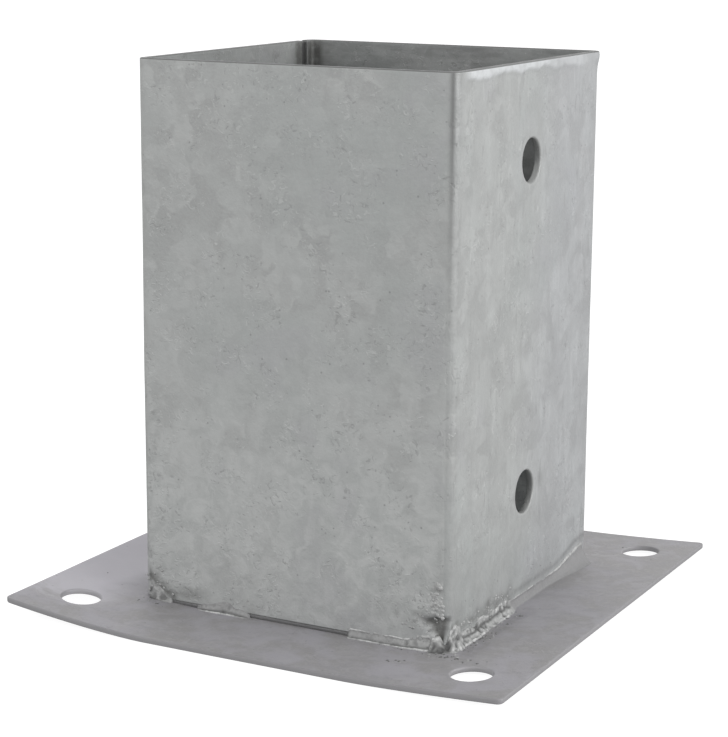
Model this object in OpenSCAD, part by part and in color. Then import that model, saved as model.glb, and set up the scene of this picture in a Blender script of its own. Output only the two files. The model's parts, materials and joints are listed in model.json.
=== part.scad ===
// Bolt-down post base: a square folded sheet-steel sleeve welded on a square base plate.
// The origin is the middle of the plate's underside. +Z is up, out of the sleeve's mouth.
// The walls with the cross holes face +X and -X. All sizes are in millimetres.

/* [Sleeve] */
// Clear width of the square socket for the post
socket_w = 91; // [60:1:93]
// Thickness of the sleeve's sheet
wall_t = 2; // [1.5:0.5:3]
// Height of the sleeve from its lower edge to its rim
sleeve_h = 150; // [140:1:220]
// Outside radius of the sleeve's folded corners
fold_r = 3; // [2:0.5:4]
// Width of the open seam between the sheet's two ends
seam_w = 3; // [2:0.5:4]
// Depth of the short lip that the back wall turns round the seam corner
seam_lip = 5; // [5:0.5:8]

/* [Cross holes] */
// Diameter of the holes for the post's cross bolts or coach screws
cross_hole_d = 12; // [8:0.5:14]
// Height of the lower cross hole above the sleeve's lower edge
cross_hole_low = 31.5; // [20:0.5:34]
// Distance from the lower to the upper cross hole
cross_hole_pitch = 92; // [30:1:94]

/* [Base plate] */
// Side of the square base plate
plate_w = 150; // [150:1:200]
// Thickness of the base plate
plate_t = 1.5; // [1:0.5:5]
// Radius of the plate's corners
plate_corner_r = 1.5; // [0.5:0.5:6]
// Diameter of the anchor holes
anchor_hole_d = 11; // [8:0.5:13]
// Distance between the anchor holes along X and along Y
anchor_pitch = 120; // [116:1:124]

/* [Foot welds] */
// Gap between the sleeve's lower edge and the plate, which the welds bridge
fit_up_gap = 1; // [0.5:0.25:1.5]
// How far a weld spreads over the plate
weld_leg = 2.5; // [2:0.5:5]
// How far a weld climbs the wall above its lower edge
weld_climb = 3; // [2:0.5:5]
// How far a weld runs in under the wall
weld_root = 1; // [0.5:0.5:1.5]

/* [Hidden] */
$fn = 48;

sleeve_w = socket_w + 2 * wall_t;
half_w = sleeve_w / 2;
sleeve_z = plate_t + fit_up_gap;
rim_z = sleeve_z + sleeve_h;
inner_r = fold_r - wall_t > 0.2 ? fold_r - wall_t : 0.2;
cut = 1; // how far a cutting solid runs past the face that it opens

// The seam lies in the -X wall, next to the corner with the +Y wall.
seam_y = half_w - seam_lip - seam_w;
seam_end = 0.5; // the seam weld stops this far short of the wall's two ends
seam_crown = 0.8; // how far the seam weld stands out of the wall
seam_fill = wall_t * 0.6; // how far it reaches into the wall

// Where each stitch lies along its wall, as shares of half the sleeve's width.
front_tack = [-0.96, -0.80];
front_short = [-0.63, -0.27];
front_long = [0.37, 0.90];
right_run = [-0.88, 0.92];
back_short = [-0.70, -0.30];
back_long = [0.20, 0.75];
left_short = [-0.70, -0.30];
left_long = [0.15, 0.70];

corner_lump_r = 4; // foot radius of the weld at the near corner
corner_lump_h = 6; // its height above the plate

zinc = [0.68, 0.70, 0.69];
zinc_plate = [0.60, 0.60, 0.61];
zinc_weld = [0.74, 0.75, 0.74];

// A square with round corners, centred on the origin
module rounded_square(side, r) {
    square([side, side - 2 * r], center = true);
    square([side - 2 * r, side], center = true);
    for (x = [-1, 1], y = [-1, 1])
        translate([x * (side / 2 - r), y * (side / 2 - r)]) circle(r);
}

// Puts its children at the four corners of a centred square of this side
module at_square(side) {
    for (x = [-1, 1], y = [-1, 1])
        translate([x * side / 2, y * side / 2, 0]) children();
}

// The section of a foot weld: +X points away from the wall, Y is up from the plate
module weld_section() {
    top = fit_up_gap + weld_climb;
    polygon([[-weld_root, 0], [weld_leg, 0], [weld_leg * 0.86, top * 0.28],
             [weld_leg * 0.55, top * 0.62], [weld_leg * 0.2, top * 0.9], [0, top],
             [0, fit_up_gap], [-weld_root, fit_up_gap]]);
}

// A straight foot weld along the wall that faces this way (0 is +X, 90 is +Y).
// The span runs along the wall, counted counter-clockwise, in shares of its half width.
module foot_weld(facing, span) {
    length = (span[1] - span[0]) * half_w;
    color(zinc_weld)
        rotate([0, 0, facing])
            translate([half_w, span[1] * half_w, plate_t])
                rotate([90, 0, 0]) linear_extrude(length) weld_section();
}

module base_plate() {
    color(zinc_plate) difference() {
        linear_extrude(plate_t) rounded_square(plate_w, plate_corner_r);
        translate([0, 0, -cut]) at_square(anchor_pitch)
            cylinder(d = anchor_hole_d, h = plate_t + 2 * cut);
    }
}

module sleeve() {
    color(zinc) difference() {
        translate([0, 0, sleeve_z]) linear_extrude(sleeve_h) difference() {
            rounded_square(sleeve_w, fold_r);
            rounded_square(socket_w, inner_r);
            translate([-half_w - cut, seam_y]) square([wall_t + 2 * cut, seam_w]);
        }
        for (z = [cross_hole_low, cross_hole_low + cross_hole_pitch])
            translate([0, 0, sleeve_z + z]) rotate([0, 90, 0])
                cylinder(d = cross_hole_d, h = sleeve_w + 2 * cut, center = true);
    }
}

// The weld that closes the open seam, flush with neither face of the wall
module weld_seam() {
    mid = seam_y + seam_w / 2;
    half_crown = seam_w * 0.3;
    color(zinc_weld) translate([0, 0, sleeve_z + seam_end])
        linear_extrude(sleeve_h - 2 * seam_end)
            polygon([[-half_w + seam_fill, seam_y], [-half_w + seam_fill, seam_y + seam_w],
                     [-half_w, seam_y + seam_w], [-half_w - seam_crown, mid + half_crown],
                     [-half_w - seam_crown, mid - half_crown], [-half_w, seam_y]]);
}

module weld_front_tack() { foot_weld(270, front_tack); }
module weld_front_short() { foot_weld(270, front_short); }
module weld_front_long() { foot_weld(270, front_long); }
module weld_right() { foot_weld(0, right_run); }
module weld_back_short() { foot_weld(90, back_short); }
module weld_back_long() { foot_weld(90, back_long); }
module weld_left_short() { foot_weld(180, left_short); }
module weld_left_long() { foot_weld(180, left_long); }

// The lump of weld round the outside of the corner between the -Y and +X walls
module weld_near_corner() {
    color(zinc_weld) difference() {
        translate([half_w - fold_r, -half_w + fold_r, plate_t])
            cylinder(r1 = fold_r + corner_lump_r - 1, r2 = fold_r, h = corner_lump_h);
        linear_extrude(rim_z) rounded_square(sleeve_w, fold_r);
        // leave the ends of the straight welds free
        translate([-plate_w / 2, -plate_w / 2, 0])
            cube([plate_w / 2 + front_long[1] * half_w, plate_w, rim_z]);
        translate([0, right_run[0] * half_w, 0]) cube([plate_w / 2, plate_w, rim_z]);
    }
}

base_plate();
sleeve();
weld_seam();
weld_front_tack();
weld_front_short();
weld_front_long();
weld_near_corner();
weld_right();
weld_back_short();
weld_back_long();
weld_left_short();
weld_left_long();
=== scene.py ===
"""Bolt-down post base: the finished look of a galvanised sleeve welded on its base plate."""

import json
import math
from itertools import product

import bpy
import numpy as np
from mathutils import Matrix, Vector


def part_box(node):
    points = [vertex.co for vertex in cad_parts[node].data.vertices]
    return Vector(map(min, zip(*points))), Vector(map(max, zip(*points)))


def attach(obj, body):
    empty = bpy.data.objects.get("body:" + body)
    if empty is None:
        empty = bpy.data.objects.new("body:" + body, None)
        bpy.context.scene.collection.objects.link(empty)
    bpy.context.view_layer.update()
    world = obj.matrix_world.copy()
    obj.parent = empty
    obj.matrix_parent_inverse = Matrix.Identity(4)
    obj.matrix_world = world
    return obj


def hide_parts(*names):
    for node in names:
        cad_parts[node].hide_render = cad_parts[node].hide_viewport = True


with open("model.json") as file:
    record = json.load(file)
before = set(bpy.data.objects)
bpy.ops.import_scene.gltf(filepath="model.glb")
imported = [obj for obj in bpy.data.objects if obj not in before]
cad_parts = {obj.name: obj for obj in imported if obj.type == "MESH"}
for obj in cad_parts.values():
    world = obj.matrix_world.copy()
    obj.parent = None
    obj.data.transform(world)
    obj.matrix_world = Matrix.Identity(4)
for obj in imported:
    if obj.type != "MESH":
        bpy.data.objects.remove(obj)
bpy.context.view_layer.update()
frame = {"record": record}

bl_info = {
    "name": "Galvanised post base",
    "version": (1, 0, 0),
    "blender": (4, 5, 0),
    "location": "View3D > Sidebar > Post base",
    "description": "Builds the welded sheet-steel sleeve, its base plate, welds and studio stage",
    "category": "Object",
}

MM = 0.001
SLEEVE_LOW, SLEEVE_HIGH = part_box("sleeve")
PLATE_LOW, PLATE_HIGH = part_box("base_plate")
SEAM_LOW, SEAM_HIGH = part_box("weld_seam")
MOUNTS = {m["name"]: m for m in frame["record"]["mounts"]}
HALF_W = SLEEVE_HIGH.x
PLATE_T = PLATE_HIGH.z
# the cross holes' mount lies in the middle of the wall
WALL_T = 2 * (HALF_W - MOUNTS["cross_holes_right"]["pos_m"][0])
TURN = 2 * math.pi
WALLS = {
    # outward direction, direction along the wall
    "right": ((1, 0), (0, 1)),
    "back": ((0, 1), (-1, 0)),
    "left": ((-1, 0), (0, -1)),
    "front": ((0, -1), (1, 0)),
}


# ---------------------------------------------------------------- properties


def length_property(name, description, default, precision=4, smallest=0.0):
    """A length that the panel shows in the scene's units."""
    return bpy.props.FloatProperty(name=name, description=description, default=default,
                                   min=smallest, unit="LENGTH", precision=precision)


def colour_property(name, description, default):
    """A colour that the panel shows as a swatch."""
    return bpy.props.FloatVectorProperty(name=name, description=description, default=default,
                                         subtype="COLOR", size=3, min=0, max=1)


class PostBaseSizes(bpy.types.PropertyGroup):
    """Sizes of the finish that a user would change"""

    fold_radius: length_property(
        "Fold radius", "Outside radius of the sleeve's folded corners", 3 * MM, 4, 0.5 * MM)
    edge_radius: length_property(
        "Edge rounding", "Rounding that the zinc gives to a sheared edge", 0.35 * MM, 5, 0.1 * MM)
    curl_left: length_property(
        "Left wing curl", "How far welding has lifted the plate's -X edge", 4.1 * MM)
    curl_right: length_property(
        "Right wing curl", "How far welding has lifted the plate's +X edge", 1.9 * MM)
    curl_start: length_property(
        "Curl start", "Distance from the middle at which the plate starts to lift", 30 * MM)
    waviness: length_property(
        "Sheet waviness", "Height of the slow waves in the sheets", 0.12 * MM, 5)
    cell: length_property(
        "Mesh cell", "Side of a mesh cell on the flat of a sheet", 1.8 * MM, 4, 0.5 * MM)
    spatter_share: bpy.props.FloatProperty(
        name="Weld spatter", default=1.0, min=0, max=3, subtype="FACTOR",
        description="Share of the usual number of weld droplets round the foot")


class PostBaseColours(bpy.types.PropertyGroup):
    """Colours of the zinc and of the floor"""

    sheet: colour_property(
        "Sleeve zinc", "Mean colour of the sleeve's zinc skin", (0.352, 0.359, 0.355))
    plate: colour_property(
        "Plate zinc", "Mean colour of the plate's duller zinc skin", (0.312, 0.308, 0.318))
    weld: colour_property(
        "Weld zinc", "Mean colour of the zinc over the welds", (0.315, 0.318, 0.315))
    floor: colour_property("Floor", "Colour of the studio floor", (0.9, 0.9, 0.9))


# ---------------------------------------------------------------- noise and small maths


def lattice_noise(points, size, seed):
    """Smooth noise from -1 to 1 at each point, with features about `size` mm across."""
    draw = np.random.default_rng(seed)
    table = draw.uniform(-1, 1, 256)
    order = draw.permutation(256)
    q = np.asarray(points, float) / (size * MM) + draw.uniform(0, 64, 3)
    cell = np.floor(q).astype(int)
    t = q - cell
    t = t * t * (3 - 2 * t)
    total = np.zeros(len(q))
    for corner in product((0, 1), repeat=3):
        weight = np.prod(np.where(corner, t, 1 - t), axis=1)
        key = np.zeros(len(q), int)
        for axis, side in enumerate(corner):
            key = order[(key + cell[:, axis] + side) & 255]
        total += weight * table[key]
    return total


def layered_noise(points, size, seed, layers=3):
    """Lattice noise summed over finer and fainter layers."""
    return sum(lattice_noise(points, size / 2 ** k, seed + k) / 2 ** k for k in range(layers))


def step(low, high, x):
    """0 below low, 1 above high and a smooth rise between them."""
    t = np.clip((np.asarray(x, float) - low) / (high - low), 0, 1)
    return t * t * (3 - 2 * t)


def rise(x, start, stop):
    """The same step for a length, with its start and stop in mm."""
    return step(start * MM, stop * MM, x)


def hump(x, middle, width):
    """A bell that is 1 at middle and fades over width to each side, both in mm."""
    return np.exp(-((np.asarray(x, float) - middle * MM) / (width * MM)) ** 2)


def spaced(start, stop, gap):
    """Even steps from start to stop, both included."""
    count = max(1, round(abs(stop - start) / gap))
    return [start + (stop - start) * i / count for i in range(count + 1)]


def graded(stops, gaps):
    """Steps from the first stop to the last, with a gap of its own between each two stops."""
    return [v for run in map(spaced, stops, stops[1:], gaps) for v in run]


def joined(*runs):
    """The runs of ascending values as one list without repeats."""
    values = sorted(v for run in runs for v in run)
    kept = values[:1]
    for v in values[1:]:
        if v - kept[-1] > 1e-7:
            kept.append(v)
    return kept


def make_piece(name, verts, faces, material, node, layers=None):
    """A smooth mesh piece on the root body, which stands for a CAD node if one is given."""
    mesh = bpy.data.meshes.new(name)
    mesh.from_pydata([tuple(v) for v in verts], [], faces)
    mesh.validate()
    mesh.polygons.foreach_set("use_smooth", [True] * len(mesh.polygons))
    for key, values in (layers or {}).items():
        layer = mesh.attributes.new(key, "FLOAT", "POINT")
        layer.data.foreach_set("value", np.asarray(values, np.float32))
    mesh.materials.append(material)
    mesh.update()
    piece = bpy.data.objects.new(name, mesh)
    bpy.context.scene.collection.objects.link(piece)
    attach(piece, "root")
    if node:
        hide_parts(node)
    return piece


# ---------------------------------------------------------------- sheet metal


def ring_of(i0, i1, j0, j1):
    """The places round a rectangle of grid lines, anticlockwise."""
    return ([(i, j0) for i in range(i0, i1)] + [(i1, j) for j in range(j0, j1)]
            + [(i, j1) for i in range(i1, i0, -1)] + [(i0, j) for j in range(j1, j0, -1)])


def punched_grid(us, vs, holes):
    """A grid of (u, v) points with round holes, its quads, and the loop round each opening.

    Each hole is (u, v, radius, half side of the square patch that surrounds it). The patch's
    sides lie on grid lines. A loop is a list of (index, direction out of the metal).
    """
    points, quads, loops, blocks = [], [], [], []
    for cu, cv, r, half in holes:
        i0, i1 = (int(np.argmin(np.abs(np.array(us) - (cu + s * half)))) for s in (-1, 1))
        j0, j1 = (int(np.argmin(np.abs(np.array(vs) - (cv + s * half)))) for s in (-1, 1))
        blocks.append((i0, i1, j0, j1, cu, cv, r))
    index = {}
    for i, u in enumerate(us):
        for j, v in enumerate(vs):
            if not any(a < i < b and c < j < d for a, b, c, d, *_ in blocks):
                index[i, j] = len(points)
                points.append((u, v))
    for i in range(len(us) - 1):
        for j in range(len(vs) - 1):
            if not any(a <= i < b and c <= j < d for a, b, c, d, *_ in blocks):
                quads.append((index[i, j], index[i + 1, j], index[i + 1, j + 1], index[i, j + 1]))
    last_i, last_j = len(us) - 1, len(vs) - 1
    loops.append([(index[i, j], ((i == last_i) - (i == 0), (j == last_j) - (j == 0)))
                  for i, j in ring_of(0, last_i, 0, last_j)])
    rings = 7
    for i0, i1, j0, j1, cu, cv, r in blocks:
        before = [index[k] for k in ring_of(i0, i1, j0, j1)]
        start = [points[k] for k in before]
        angles = [math.atan2(v - cv, u - cu) for u, v in start]
        for ring in range(1, rings + 1):
            share = 1 - (1 - ring / rings) ** 1.6
            now = []
            for (u, v), a in zip(start, angles):
                now.append(len(points))
                points.append((u + share * (cu + r * math.cos(a) - u),
                               v + share * (cv + r * math.sin(a) - v)))
            quads += zip(before, before[1:] + before[:1], now[1:] + now[:1], now)
            before = now
        loops.append([(k, (-math.cos(a), -math.sin(a))) for k, a in zip(before, angles)][::-1])
    return points, quads, loops


def sheet_mesh(grid, place, thickness, edge_profile, hole_profile):
    """A solid sheet from a punched grid. place(u, v, depth) gives points; a profile lists
    (reach out of the metal, depth) from the outer face to the inner one. The layers say which
    points lie on a sheared edge and which in a bore."""
    points, quads, loops = grid
    uv = np.array(points)
    count = len(uv)
    verts = [place(uv[:, 0], uv[:, 1], np.zeros(count)),
             place(uv[:, 0], uv[:, 1], np.full(count, thickness))]
    kinds = [np.zeros(2 * count)]
    faces = quads + [tuple(k + count for k in reversed(q)) for q in quads]
    total = 2 * count
    for number, loop in enumerate(loops):
        profile = hole_profile if number else edge_profile
        size = len(loop)
        ids = np.array([k for k, _ in loop])
        out = np.array([d for _, d in loop], float)
        rings = [ids]
        for reach, depth in profile:
            verts.append(place(*(uv[ids] + out * reach).T, np.full(size, depth)))
            kinds.append(np.full(size, 2.0 if number else 1.0))
            rings.append(np.arange(total, total + size))
            total += size
        rings.append(ids + count)
        for before, now in zip(rings, rings[1:]):
            faces += np.stack([np.roll(before, -1), before, now, np.roll(now, -1)], 1).tolist()
    kinds = np.concatenate(kinds)
    return np.concatenate(verts), faces, {"edge": kinds == 1, "bore": kinds == 2}


def round_profile(radius, thickness, steps=4):
    """The rounded section of a sheared edge, from the outer face to the inner one."""
    bend = [math.pi / 2 * k / steps for k in range(1, steps + 1)]
    top = [(radius * math.sin(a), radius * (1 - math.cos(a))) for a in bend]
    return top + [(reach, thickness - depth) for reach, depth in reversed(top)]


def punched_profile(reach, thickness):
    """The section of a punched hole: rolled in on the outer face, torn open towards the inner."""
    roll = [(0.30, 0.015), (0.62, 0.06), (0.86, 0.16), (0.97, 0.28), (1.0, 0.40)]
    torn = [(0.93, 0.62), (0.72, 0.86), (0.45, 1.0)]
    return [(reach * a, thickness * b) for a, b in roll + torn]


# ---------------------------------------------------------------- the sleeve


class SleevePath:
    """The sleeve's outer outline from one side of the seam round to the other, by length."""

    def __init__(self, fold):
        flat = HALF_W - fold
        self.fold = fold
        self.runs = []
        at = 0.0
        # each wall: start point, direction, length, and the fold that follows it
        walls = [((-HALF_W, SEAM_LOW.y), (0, -1), SEAM_LOW.y + flat),
                 ((-flat, -HALF_W), (1, 0), 2 * flat),
                 ((HALF_W, -flat), (0, 1), 2 * flat),
                 ((flat, HALF_W), (-1, 0), 2 * flat),
                 ((-HALF_W, flat), (0, -1), flat - SEAM_HIGH.y)]
        arc = fold * math.pi / 2
        for k, (start, along, length) in enumerate(walls):
            self.runs.append(("flat", at, length, np.array(start), np.array(along)))
            at += length
            if k < 4:
                corner = np.array([(-flat, -flat), (flat, -flat), (flat, flat), (-flat, flat)][k])
                self.runs.append(("fold", at, arc, corner, math.pi + k * math.pi / 2))
                at += arc
        self.length = at
        self.wall_start = [r[1] for r in self.runs if r[0] == "flat"]
        self.fold_start = [r[1] for r in self.runs if r[0] == "fold"]
        self.arc = arc

    def at(self, u):
        """Outline points and outward normals at lengths u."""
        u = np.asarray(u, float)
        pos, normal = np.zeros((len(u), 2)), np.zeros((len(u), 2))
        for k, (kind, start, length, place, way) in enumerate(self.runs):
            low = -math.inf if k == 0 else start
            high = math.inf if k == len(self.runs) - 1 else start + length
            mask = (u >= low) & (u < high)
            along = (u[mask] - start)[:, None]
            if kind == "flat":
                pos[mask] = place + way * along
                normal[mask] = (way[1], -way[0])
            else:
                a = way + along[:, 0] / self.fold
                normal[mask] = np.stack([np.cos(a), np.sin(a)], 1)
                pos[mask] = place + self.fold * normal[mask]
        return pos, normal


def sleeve_marks(u, pos, normal, path):
    """Where the sleeve's skin differs: shares from 0 to 1 by name, one value per point. u is the
    length along the outline."""
    x, y, z = pos.T
    right = normal[:, 0] > 0.9
    front = normal[:, 1] < -0.9
    # a thick run of zinc under the rim of the +X wall, with a wavy lower lip
    drop = 3.1 * MM + layered_noise(np.stack([x, y, x * 0], 1), 9, 31) * 1.4 * MM
    span = rise(y, -44, -38) * (1 - 0.45 * rise(y, 2, 20)) * (1 - rise(y, 32, 42))
    run = right * span * rise(z - (SLEEVE_HIGH.z - drop), 0, 1.2)
    # the near fold: painted shade in a dark line down its middle, over its +X side to hold back
    # its highlight, and at its foot, with a slight dent; and a hollow at its foot, darkened with
    # painted shade
    ragged = layered_noise(pos, 3, 35)
    across = u - (path.fold_start[1] + path.arc / 2)
    line = hump(across, -0.45, 0.85) * (0.20 + 0.80 * rise(z, 82, 148))
    fold_side_shade = hump(across, 0.7, 1.25) * (0.38 + 0.20 * rise(z, 90, 140))
    fold_foot_shade = hump(across, -0.3, 2.2) * 0.22 * (1 - rise(z, 12, 45))
    press = np.maximum.reduce([line, fold_side_shade, fold_foot_shade])
    height = (z - 3.6 * MM) / (7.0 * MM)
    half = 4.3 * MM * np.clip(height, 0.05, 1) * (1 + 0.18 * ragged)
    hollow = 1 - step(half * 0.7, half * 1.15, np.abs(across + (1.3 + 1.8 * height) * MM))
    hollow = hollow * (1 - step(0.9, 1.12, height + 0.1 * ragged))
    # painted shadow under the drip above it
    drip_shadow = hump(across, -2.8, 1.5) * hump(z, 18.3, 0.7) * 0.7
    # beside the rough welds: painted shadow along the tack and beside it, heat tint above the
    # rough +X run, painted shade in the groove above the smooth run, a soot cloud and a heat
    # scorch
    slope = z - 3.2 * MM - (-37.5 * MM - x) * 0.66 + ragged * 0.8 * MM
    tack = front * hump(slope, 0, 1.7) * (1 - rise(x, -38.5, -35))
    tack_side_shadow = front * 0.55 * hump(x, -33, 5) * hump(z, 5.6 + ragged, 1.6)
    rough_end = 1 - rise(y, -12, -5)
    undercut = right * rough_end * hump(z, 7.2 + ragged * 1.6, 2.0) * (0.45 + 0.5 * np.abs(ragged))
    crest = 6.5 + 3.4 * rise(y, 22, 42)
    groove = right * (1 - rough_end) * hump(z, crest, 0.85) * 0.42
    cloud = front * hump(x, 36, 6) * hump(z, 11, 3) * np.clip(ragged, 0, 0.4)
    scorch = right * hump(y, -41, 3.5) * hump(z, 10, 5) * 0.30
    # a smudge beside the lower cross hole
    smudge = right * hump(y, 10.5, 1.6) * hump(z, 35.5, 2.4) * 0.42
    # soot and heat marks, with painted shade and shadow among them
    soot = np.maximum.reduce([hollow, tack, tack_side_shadow, undercut, groove, cloud, scorch, smudge,
                              drip_shadow])
    # painted light on the front wall's foot, paler towards the bottom, to lift the shade there
    drained = front * (1 - rise(z, 15, 105))
    # a cooler, slightly lilac skin towards the back of the +X wall
    cool = right * rise(y + 8 * MM * layered_noise(pos, 22, 37, 2), -15, 25)
    return {"run": run, "press": press, "hollow": hollow, "soot": np.clip(soot, 0, 1),
            "cool": cool, "drained": drained}


def sleeve_relief(pos, sizes, marks):
    """How far the zinc and the sheet stand out from the true outline, outside and inside."""
    x, y, z = pos.T
    slow = layered_noise(pos, 60, 11, 2) * sizes.waviness
    skin = layered_noise(pos, 7, 21) * 0.02 * MM
    # the far top corner of the +X wall holds a frozen bead of zinc
    bead = (x > 0.9 * HALF_W) * hump(y, 45.5, 3.2) * hump(z - SLEEVE_HIGH.z, -1.2, 2.4) * 0.6 * MM
    burr = layered_noise(pos, 2.5, 24) * marks["hollow"]
    outer = (slow + skin + bead + marks["run"] * 0.30 * MM - marks["press"] * 0.05 * MM
             - marks["hollow"] * 0.95 * MM + burr * 0.25 * MM)
    return outer, slow - skin


def build_sleeve(sizes, material):
    """The folded sleeve with its cross holes, rounded edges, waves, zinc run, and a slight dent
    down the near fold, with painted light and shade among the marks of its skin.
    """
    path = SleevePath(sizes.fold_radius)
    edge = sizes.edge_radius
    cell = sizes.cell
    low, high = SLEEVE_LOW.z + edge, SLEEVE_HIGH.z - edge
    mount = MOUNTS["cross_holes_right"]
    radius = mount["dims"]["hole_r_mm"] * MM
    middle = mount["pos_m"][2]
    pitch = mount["dims"]["spacing_y_mm"] * MM
    roll = 0.55 * MM
    patch = 12 * MM
    near_hole = 1.3 * MM
    heights = [middle - pitch / 2, middle + pitch / 2]
    patches = [v + side for v in heights for side in (-patch, patch)]
    stops = [low + 0.8 * MM, low + 12 * MM, *patches, high - 6 * MM, high - 0.5 * MM]
    gaps = [0.6 * MM, 1.2 * MM, near_hole, cell, near_hole, 1.2 * MM, 0.5 * MM]
    vs = joined([low, low + 0.3 * MM], graded(stops, gaps), [high - 0.25 * MM, high])
    columns = [[edge, edge + 0.4 * MM]]
    hole_us = []
    margin = 1.4 * MM
    fine = 0.35 * MM
    for k, start in enumerate(path.wall_start):
        length = path.runs[2 * k][2]
        if k == len(path.wall_start) - 1:
            columns.append(spaced(start, path.length - edge, 0.6 * MM))
            continue
        begin = start + (margin if k else edge + 1.2 * MM)
        stop = start + length - margin
        if k in (0, 2):
            # the hole lies on the wall's middle line, y = 0
            hole_u = start + (SEAM_LOW.y if k == 0 else HALF_W - sizes.fold_radius)
            hole_us.append(hole_u)
            columns.append(graded([begin, hole_u - patch, hole_u + patch, stop],
                                  [cell, near_hole, cell]))
        else:
            columns.append(spaced(begin, stop, cell))
        if k:
            columns.append(spaced(start, begin, fine))
        columns.append(spaced(stop, start + length, fine))
    us = joined(*columns, *(spaced(v, v + path.arc, path.arc / 10) for v in path.fold_start))
    holes = [(u, v, radius + roll, patch) for u in hole_us for v in heights]

    def skin_at(u, v):
        # the place on the outer skin, the direction out of it, and its marks
        pos, normal = path.at(u)
        flat = np.column_stack([pos, v])
        return flat, np.column_stack([normal, u * 0]), sleeve_marks(u, flat, normal, path)

    def place(u, v, depth):
        flat, normal, marks = skin_at(u, v)
        outer, inner = sleeve_relief(flat, sizes, marks)
        share = depth / WALL_T
        move = outer * (1 - share) + inner * share - depth
        return flat + normal * move[:, None]

    grid = punched_grid(us, vs, holes)
    verts, faces, layers = sheet_mesh(grid, place, WALL_T, round_profile(edge, WALL_T),
                                      punched_profile(roll, WALL_T))
    u, v = np.array(grid[0]).T
    marks = skin_at(u, v)[2]
    count = len(u)
    for key in ("run", "press", "soot", "cool", "drained"):
        layers[key] = np.zeros(len(verts))
        layers[key][:count] = marks[key]
    # painted shade over the inner skin, less on the -X wall, and the inner skin darker beside the
    # seam
    index = np.arange(len(verts))
    layers["inner_skin"] = (index >= count) & (index < 2 * count)
    layers["inner_dull"] = layers["inner_skin"] * (1 - 0.45 * (verts[:, 0] < -0.9 * HALF_W))
    beside_seam = np.maximum(1 - rise(u, 3, 6), 1 - rise(path.length - u, 8, 10))
    layers["soot"][count:2 * count] = beside_seam
    return make_piece("zinc_sleeve", verts, faces, material, "sleeve", layers)


# ---------------------------------------------------------------- the plate


def plate_lift(x, sizes):
    """How far the plate is lifted at x, where the welds have pulled its two wings up."""
    x = np.asarray(x, float)
    reach = (np.abs(x) - sizes.curl_start) / (PLATE_HIGH.x - sizes.curl_start)
    return np.where(x < 0, sizes.curl_left, sizes.curl_right) * np.clip(reach, 0, None) ** 1.5


def plate_top(x, y, sizes):
    """Height of the plate's upper face."""
    points = np.column_stack([x, y, np.zeros(len(x))])
    slow = layered_noise(points, 45, 41, 2) * sizes.waviness * 0.5
    return PLATE_T + plate_lift(x, sizes) + slow


def build_plate(sizes, material):
    """The base plate with four punched anchor holes, eased corners and wings lifted by welding."""
    edge = sizes.edge_radius
    side = PLATE_HIGH.x
    corner = 1.6 * MM
    mount = MOUNTS["anchor_holes"]
    radius = mount["dims"]["hole_r_mm"] * MM
    half_pitch = mount["dims"]["spacing_x_mm"] * MM / 2
    roll = 0.45 * MM
    patch = 10 * MM
    limit = side - edge
    outer = [limit - corner, limit - corner * 0.6, limit - corner * 0.25, limit]
    half = joined(graded([0, half_pitch - patch, half_pitch + patch, limit - corner],
                         [2.2 * MM, 1.25 * MM, 1 * MM]), outer)
    lines = joined([-v for v in half], half)
    holes = [(sx * half_pitch, sy * half_pitch, radius + roll, patch)
             for sx in (-1, 1) for sy in (-1, 1)]

    def place(u, v, depth):
        # the square's corners are eased onto a small arc
        over_u, over_v = np.abs(u) - (side - corner), np.abs(v) - (side - corner)
        both = (over_u > 0) & (over_v > 0)
        far = np.maximum(over_u, over_v)
        shrink = np.where(both, far / np.maximum(np.hypot(over_u, over_v), 1e-9), 1.0)
        x = np.where(both, np.sign(u) * (side - corner + over_u * shrink), u)
        y = np.where(both, np.sign(v) * (side - corner + over_v * shrink), v)
        points = np.column_stack([x, y, depth])
        skin = layered_noise(points, 6, 51) * 0.015 * MM * (1 - depth / PLATE_T)
        return np.column_stack([x, y, plate_top(x, y, sizes) + skin - depth])

    grid = punched_grid(lines, lines, holes)
    verts, faces, layers = sheet_mesh(grid, place, PLATE_T, round_profile(edge, PLATE_T),
                                      punched_profile(roll, PLATE_T))
    # painted shadow along the toe of the rough +X run, a darker patch at the sleeve's front-left
    # corner, and a stain in front of the front wall
    x, y, _ = verts.T
    ragged = layered_noise(verts, 5, 61)
    near_right = hump(x - HALF_W, 4.5 + ragged * 1.5, 2.4) * (1 - rise(y, -14, -2))
    near_right = near_right * rise(y, -54, -46)
    left_corner = hump(x, -44, 7) * hump(y + HALF_W, -2, 3)
    left_stain = hump(x, -34, 13) * hump(y, -58 + ragged * 4, 7)
    layers["soot"] = np.clip(near_right * 0.55 + left_corner * 0.4 + left_stain * 0.16, 0, 1)
    return make_piece("zinc_plate", verts, faces, material, "base_plate", layers)


# ---------------------------------------------------------------- welds


def bands(rings, size):
    """The faces between closed rings of the same size, whose points are numbered in a row."""
    return [(i + j, i + (j + 1) % size, i + size + (j + 1) % size, i + size + j)
            for i in range(0, (rings - 1) * size, size) for j in range(size)]


def tube(rows):
    """Vertices and faces of a closed tube through equal rings of points, with flat ends."""
    count, size = rows.shape[:2]
    ends = [tuple(reversed(range(size))), tuple(range((count - 1) * size, count * size))]
    return rows.reshape(-1, 3), bands(count, size) + ends


def ridged(points, size, seed):
    """Noise with sharp crests, from -1 to 1."""
    return 1 - 2 * np.abs(layered_noise(points, size, seed, 2))


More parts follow.
